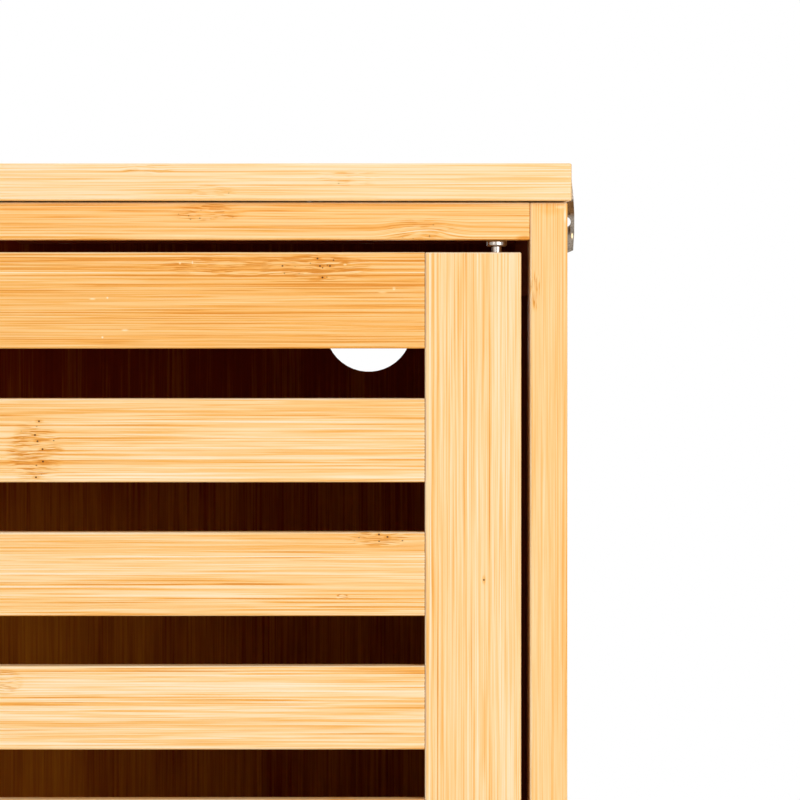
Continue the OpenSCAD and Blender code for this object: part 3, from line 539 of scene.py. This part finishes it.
# Steel: its scratches are fine across the brushed axis and long along it
SCRATCH_PER_MM = 9.0
BRUSHED_PER_MM = 0.15
SCRATCH_SHARE = 0.5
STEEL_BUMP = (0.2, 0.00005)


def steel(name, dark, light, rough_low, rough_high, cloud_mm, brushed_axis=None):
    """Plated or brushed steel, with cloudy tone and fine scratches along one axis. Also gives its graph, its
    shader, its colour and the place in millimetres."""
    material, g, shader = new_material(name)
    place = [g.times(v, MM_PER_M) for v in g.object_place()]
    cloud = g.noise(g.scaled(place, [1.0 / cloud_mm for axis in AXES]), detail=3.0)
    stretch = [BRUSHED_PER_MM if axis == brushed_axis else SCRATCH_PER_MM for axis in range(len(AXES))]
    scratch = g.noise(g.scaled(place, stretch), detail=2.0)
    colour = g.mix(cloud, dark, light)
    spread = g.add(g.times(cloud, SCRATCH_SHARE), g.times(scratch, SCRATCH_SHARE))
    rough = g.add(rough_low, g.times(spread, rough_high - rough_low))
    finish_material(g, shader, colour, rough, scratch, STEEL_BUMP, Metallic=1.0)
    return material, g, shader, colour, place


# The wall lugs' plating. Heights are in millimetres above the wall screw's hole, and places across are in
# millimetres out from the lug's outer edge.
LUG_HOLE_MM = 579.7
LUG_EDGE_MM = 345.1
LUG_DARK = (0.10, 0.085, 0.068)
LUG_LIGHT = (0.18, 0.155, 0.13)
LUG_ROUGH = (0.2, 0.3)
LUG_CLOUD_MM = 3.0
# The brown band is painted shade of the top board, the rim spots are painted shade at the hole, and the
# bright spot is a painted glint
LUG_PAINTED_SHADE = (0.085, 0.036, 0.008)
LUG_PAINTED_SHADE_SHARE = 0.9
LUG_PAINTED_SHADE_LOW_MM = (1.6, 4.4)
LUG_PAINTED_SHADE_TOP_MM = (10.6, 8.4)
LUG_TOP_PALE = (0.34, 0.27, 0.21)
LUG_TOP_SHARE = 0.7
LUG_TOP_MM = (8.6, 11.5)
RIM_PAINTED_SHADE = (0.045, 0.02, 0.006)
RIM_PAINTED_SHADE_SPOTS = [(3.6, -2.3, 0.9, 0.6), (-3.6, -2.3, 3.2, 0.8)]
PAINTED_GLINT = (0.85, 0.66, 0.40)
PAINTED_GLINT_SPOT = (-6.1, -1.0, 1.7, 0.6)


def lug_steel():
    """Plating that is brown where the top board shades it, as painted shade, grey below and paler at the top,
    with painted shade at the hole's rim and a painted glint below the hole.
    """
    material, g, shader, colour, place = steel("lug steel", LUG_DARK, LUG_LIGHT, *LUG_ROUGH, LUG_CLOUD_MM)
    up = g.minus(place[Z_GRAIN], LUG_HOLE_MM)
    out = g.minus(g.absolute(place[X_GRAIN]), LUG_EDGE_MM)
    # Painted shade below the top board
    top_board_shade = g.times(g.step(up, *LUG_PAINTED_SHADE_LOW_MM), g.step(up, *LUG_PAINTED_SHADE_TOP_MM))
    colour = g.mix(g.times(top_board_shade, LUG_PAINTED_SHADE_SHARE), colour, LUG_PAINTED_SHADE)
    colour = g.mix(g.times(g.step(up, *LUG_TOP_MM), LUG_TOP_SHARE), colour, LUG_TOP_PALE)
    # Painted shade at the hole's rim
    for spot in RIM_PAINTED_SHADE_SPOTS:
        colour = g.mix(oval(g, up, out, spot), colour, RIM_PAINTED_SHADE)
    # A painted glint below the hole
    colour = g.mix(oval(g, up, out, PAINTED_GLINT_SPOT), colour, PAINTED_GLINT)
    g.feed(shader.inputs["Base Color"], colour)
    return material


# Moulded plastic and ferrite
BROAD_PER_GRAIN = 0.05
MOULDED_SHARE = 0.5
MOULDED_ROUGH_GRAIN = 0.15
MOULDED_BUMP = (0.35, 0.0001)


def moulded(name, colour, light, grain_mm, rough):
    """Moulded plastic or ground ferrite, with a fine grain."""
    material, g, shader = new_material(name)
    place = g.object_place()
    grains_per_m = MM_PER_M / grain_mm
    grain = g.noise(g.scaled(place, [grains_per_m for axis in AXES]), detail=3.0, roughness=0.6)
    broad = g.noise(g.scaled(place, [BROAD_PER_GRAIN * grains_per_m for axis in AXES]), detail=2.0)
    tone = g.add(g.times(grain, MOULDED_SHARE), g.times(broad, MOULDED_SHARE))
    rough = g.add(rough, g.times(grain, MOULDED_ROUGH_GRAIN))
    finish_material(g, shader, g.mix(tone, colour, light), rough, grain, MOULDED_BUMP)
    return material


def dress_case():
    # The streaks of the first three boards come from the same measured profile as most of those in SEEN
    bamboo("top_board", X_GRAIN, seed=1, warmth=-0.19, contrast=0.5, own=0.0, figure=0.45,
           knuckles=[(501, 13, 13, 3), (526, 4, 12, 3), (581, 9, 15, 4)],
           streaks=[(11.5, 0.35, 0.24), (10, 0.25, 0.1), (5, 0.25, 0.14), (3.9, 0.2, 0.07),
                    (12.4, 0.3, -0.1), (9.1, 0.3, -0.1), (6.7, 0.3, -0.09)])
    bamboo("front_top_rail", X_GRAIN, seed=2, warmth=0.09, contrast=0.58, own=0.0, figure=0.8,
           knuckles=[(508, 11, 17, 5), (592, 4, 17, 6, 0.7)], arches=[(594, 4, 22, 7, 2.2)],
           streaks=[(5, 0.35, 0.16), (3.8, 0.25, 0.1), (1.8, 0.4, -0.12), (7.8, 0.4, -0.12)],
           # The second mark is painted shade at the rail's lower end by the post
           marks=[(508, 13.5, 16, 2, -0.2), (635, 0.6, 5, 2, -0.35)], shoulder=NO_TENON)
    bamboo("front_right_post", Z_GRAIN, seed=8, warmth=-0.03, contrast=0.42, own=0.0,
           knuckles=[(547, 2, 9, 2.5)], streaks=[(9.3, 0.4, 0.08), (13.3, 0.3, 0.08), (11, 0.3, 0.06)],
           # The first mark is painted shade under the top board's overhang
           marks=[(580, 8, 4, 6, -0.14), (580.6, 12, 1, 2.4, 0.28), (577, 14, 3.6, 0.7, 0.3)])
    bamboo("front_bottom_rail", X_GRAIN, seed=3, warmth=0.1)
    bamboo("front_left_post", Z_GRAIN, seed=7)
    bamboo("rear_left_top_rail", X_GRAIN, seed=4, warmth=0.1, painted_shade_faces=[FRONT_FACE, UNDER_FACE])
    bamboo("rear_right_top_rail", X_GRAIN, seed=5, warmth=0.12, painted_shade_faces=[FRONT_FACE, UNDER_FACE])
    bamboo("rear_bottom_rail", X_GRAIN, seed=6, warmth=0.1, painted_shade_faces=[FRONT_FACE])
    for i, (side, sign) in enumerate((("left", 1), ("right", -1))):
        inner = (X_GRAIN, sign)
        bamboo(f"rear_{side}_post", Z_GRAIN, seed=9 + i, warmth=0.02, painted_shade_faces=[FRONT_FACE, inner])
        bamboo(side + "_side_top_rail", Y_GRAIN, seed=11 + 2 * i, warmth=0.08, painted_shade_faces=[inner, UNDER_FACE])
        bamboo(side + "_side_bottom_rail", Y_GRAIN, seed=12 + 2 * i, warmth=0.08, painted_shade_faces=[inner])
        bamboo(side + "_side_panel", Z_GRAIN, seed=15 + i, contrast=0.8, painted_shade_faces=[inner])
    bamboo("bottom_board", X_GRAIN, seed=17)
    bamboo("shelf", X_GRAIN, seed=18, warmth=-0.05)
    bamboo("dowels", Z_GRAIN, seed=19, warmth=0.05)
    brown_panel("back_panel")


# The features of the right door's boards that the photograph shows. Most of the streaks were filled in
# from a brightness profile of the photograph that a scratch program printed.
SEEN = {
    "hinge_stile": dict(
        warmth=-0.13, contrast=0.5, own=0.0, dots=[(340.4, 23.6)],
        streaks=[(3.1, 0.6, 0.16), (5.1, 0.35, 0.26), (9.1, 0.3, 0.12), (15.5, 0.3, 0.18), (16.4, 0.3, 0.18),
                 (18.7, 0.3, 0.16), (19.6, 0.35, 0.2), (21.8, 0.3, 0.12), (25.9, 0.4, 0.22),
                 (2, 0.4, -0.2), (10.1, 0.3, -0.1), (17.2, 0.35, -0.18), (21, 0.35, -0.16), (32, 5, -0.08),
                 (34, 0.4, -0.1)]),
    "top_rail": dict(
        warmth=0.17, contrast=0.6, own=0.0, knuckles=[(206, 32.5, 24, 7), (178, 33, 52, 6, 0.55)],
        dots=[(205, 36), (206, 33), (210, 33), (207, 28.4)],
        streaks=[(35.4, 0.35, 0.22), (33.5, 0.3, 0.18), (31.8, 0.4, 0.22), (29.2, 0.35, 0.26),
                 (25.4, 0.35, 0.22), (22.3, 0.3, 0.12), (14.2, 0.35, 0.14), (12, 0.3, 0.1), (7.7, 0.3, 0.12),
                 (4.5, 0.3, 0.1), (2.5, 0.35, 0.14), (34.4, 0.3, -0.14), (30.4, 0.35, -0.2),
                 (37, 0.5, -0.14), (27.3, 0.35, -0.12)],
        marks=[(206, 24, 24, 3, -0.1), (115, 19.8, 1.8, 0.4, 0.5), (121, 20.3, 0.6, 0.6, 0.5),
               (128, 7.4, 2, 0.6, 0.4), (119, 4.5, 0.6, 0.6, 0.6), (150, 34, 0.7, 0.6, 0.6),
               (155, 34.4, 0.4, 0.9, 0.5), (216, 33.6, 1, 0.5, 0.6), (231, 22.4, 2.6, 0.5, 0.35),
               (235.6, 24, 0.9, 0.9, 0.4)]),
    "slat_1": dict(
        warmth=-0.07, contrast=0.68, own=0.0, knuckles=[(92, 12, 13, 15)],
        dots=[(93.6, 24.4), (92, 18.9), (93, 16.4), (95, 13.2), (95.2, 8.3), (92.4, 2)],
        streaks=[(26.7, 0.35, 0.2), (22.7, 0.6, 0.2), (20.3, 0.3, 0.15), (17.5, 0.35, 0.18),
                 (12.7, 0.35, 0.16), (11.1, 0.3, 0.16), (7.5, 0.4, 0.2), (29.5, 3, 0.1), (24.4, 0.5, -0.2),
                 (3.1, 0.35, -0.15), (1.8, 0.5, -0.2), (9.5, 0.35, -0.12), (13.5, 0.3, -0.12)],
        marks=[(91, 14, 13, 13, -0.1)]),
    "slat_2": dict(
        warmth=-0.08, contrast=0.66, own=0.0, knuckles=[(230, 31, 15, 4), (215, 7.6, 3, 1.5)],
        dots=[(233, 31.6), (229.6, 32.6)],
        streaks=[(12.4, 0.4, 0.3), (10.4, 0.35, 0.22), (6.8, 0.4, 0.32), (5.2, 0.35, 0.26), (3.6, 0.4, 0.28),
                 (28.5, 4.5, 0.1), (23.6, 0.4, -0.2), (16.8, 0.45, -0.24), (11.4, 0.35, -0.24),
                 (8, 0.4, -0.18), (14.2, 0.35, -0.1)],
        marks=[(229, 31, 12, 3, -0.12)]),
    "slat_3": dict(
        warmth=-0.16, contrast=0.75, own=0.0, knuckles=[(80, 27, 8, 6)],
        streaks=[(21, 0.4, 0.22), (31.4, 0.35, 0.16), (28.2, 0.3, 0.1), (23.4, 0.35, -0.14),
                 (25.4, 0.35, -0.12)]),
}
FRAME_WARMTH = {"hinge_stile": -0.02, "meeting_stile": 0.02, "top_rail": 0.2, "bottom_rail": 0.16}
SLATS = [f"slat_{number}" for number in range(1, 8)]


def dress_door(side, seed):
    door = side + "_door_"
    stiles = [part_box(door + name) for name in ("hinge_stile", "meeting_stile")]
    between_stiles = max(low.x for low, high in stiles) - min(high.x for low, high in stiles)
    rail_low, rail_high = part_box(door + "top_rail")
    tenon = (rail_high.x - rail_low.x - between_stiles) / 2 * MM_PER_M
    for i, name in enumerate([*FRAME_WARMTH, *SLATS]):
        stile = name.endswith("stile")
        look = dict(warmth=FRAME_WARMTH.get(name, 0.0))
        if side == "right":
            look.update(SEEN.get(name, {}))
        bamboo(door + name, Z_GRAIN if stile else X_GRAIN, seed + i, shoulder=0.0 if stile else tenon, **look)


def dress_hardware():
    bright = steel("bright steel", dark=(0.55, 0.54, 0.52), light=(0.78, 0.77, 0.75),
                   rough_low=0.12, rough_high=0.28, cloud_mm=6.0)[0]
    pivot = steel("nickel", dark=(0.34, 0.30, 0.26), light=(0.50, 0.45, 0.40),
                  rough_low=0.08, rough_high=0.2, cloud_mm=3.0)[0]
    satin = steel("satin steel", dark=(0.55, 0.55, 0.54), light=(0.72, 0.72, 0.71),
                  rough_low=0.26, rough_high=0.42, cloud_mm=8.0, brushed_axis=Y_GRAIN)[0]
    zinc = steel("zinc plated steel", dark=(0.50, 0.50, 0.47), light=(0.72, 0.72, 0.70),
                 rough_low=0.25, rough_high=0.45, cloud_mm=2.0)[0]
    plastic = moulded("black plastic", colour=(0.018, 0.016, 0.015), light=(0.04, 0.037, 0.034),
                      grain_mm=0.35, rough=0.42)
    ferrite = moulded("ferrite", colour=(0.05, 0.05, 0.052), light=(0.10, 0.10, 0.105),
                      grain_mm=0.25, rough=0.5)
    for node in ("shelf_pins", "wood_screws", "frame_bolts", "barrel_nuts"):
        dress(node, zinc)
    for node in ("foot_glides", "door_catch"):
        dress(node, plastic)
    dress("pivot_bushes", pivot)
    dress("wall_lugs", lug_steel())
    dress("catch_magnets", ferrite)
    for side in ("left", "right"):
        dress(side + "_door_pivot_pins", pivot)
        dress(side + "_door_strike_plate", bright)
        dress(side + "_door_knob", satin)
        dress(side + "_door_screws", zinc)


def white_where_seen(g):
    """1 for camera, mirror and glass rays."""
    path = g.node("ShaderNodeLightPath").outputs
    seen = g.math("MAXIMUM", path["Is Camera Ray"], path["Is Glossy Ray"])
    return g.math("MAXIMUM", seen, path["Is Transmission Ray"])


def make_world():
    world = bpy.data.worlds.new("studio")
    bpy.context.scene.world = world
    world.use_nodes = True
    world.node_tree.nodes.clear()
    g = Graph(world.node_tree)
    ambient = g.node("ShaderNodeBackground", Color=WHITE, Strength=AMBIENT)
    white = g.node("ShaderNodeBackground", Color=WHITE, Strength=1.0)
    g.node("ShaderNodeOutputWorld", Surface=g.mix_shaders(white_where_seen(g), ambient, white))


def make_floor():
    """A disc that is a matt floor under the object and fades to the white backdrop further out."""
    corners = [(0.0, 0.0, 0.0)]
    for i in range(FLOOR_RING):
        turn = 2 * math.pi * i / FLOOR_RING
        corners.append((FLOOR_R * math.cos(turn), FLOOR_R * math.sin(turn), 0.0))
    faces = [(0, 1 + i, 1 + (i + 1) % FLOOR_RING) for i in range(FLOOR_RING)]
    mesh = bpy.data.meshes.new("floor")
    mesh.from_pydata(corners, [], faces)
    floor = bpy.data.objects.new("floor", mesh)
    bpy.context.scene.collection.objects.link(floor)
    material, g, shader = new_material("floor")
    shader.inputs["Base Color"].default_value = (FLOOR_GREY, FLOOR_GREY, FLOOR_GREY, OPAQUE)
    shader.inputs["Roughness"].default_value = FLOOR_ROUGHNESS
    shader.inputs["Specular IOR Level"].default_value = 0.0
    x, y, z = g.object_place()
    r = g.math("SQRT", g.add(g.times(x, x), g.times(y, y)))
    fade = g.times(g.step(r, SHADOW_FLOOR_R, WHITE_FLOOR_R), white_where_seen(g))
    glow = g.node("ShaderNodeEmission", Color=WHITE, Strength=1.0)
    surface = material.node_tree.nodes["Material Output"].inputs["Surface"]
    g.feed(surface, g.mix_shaders(fade, shader, glow))
    mesh.materials.append(material)


def look_at(thing, place, aim):
    """Puts a lamp or camera at a place, looking at its aim."""
    thing.location = place
    thing.rotation_euler = (Vector(aim) - Vector(place)).to_track_quat("-Z", "Y").to_euler()
    bpy.context.scene.collection.objects.link(thing)


def make_lamp(name, size, power, place):
    lamp = bpy.data.lights.new(name, "AREA")
    lamp.shape = "RECTANGLE"
    lamp.size, lamp.size_y = size
    lamp.energy = power
    look_at(bpy.data.objects.new(name, lamp), place, LAMP_AIM)


def make_camera():
    front_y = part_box("front_right_post")[0].y
    data = bpy.data.cameras.new("camera")
    data.sensor_width = SENSOR_MM
    data.lens = FOCAL_PX * SENSOR_MM / IMAGE_PX
    camera = bpy.data.objects.new("camera", data)
    look_at(camera, (CAMERA_X, front_y - CAMERA_DISTANCE, CAMERA_Z), (AIM_X, front_y, AIM_Z))
    bpy.context.scene.camera = camera


LEFT_DOOR_SEED = 40
RIGHT_DOOR_SEED = 60

make_camera()
make_world()
make_floor()
make_lamp("key", KEY_SIZE, KEY_POWER, KEY_PLACE)
make_lamp("strip", STRIP_SIZE, STRIP_POWER, STRIP_PLACE)
make_lamp("top", TOP_SIZE, TOP_POWER, TOP_PLACE)
dress_case()
dress_door("left", LEFT_DOOR_SEED)
dress_door("right", RIGHT_DOOR_SEED)
dress_hardware()
bpy.context.scene.view_settings.view_transform = "Standard"
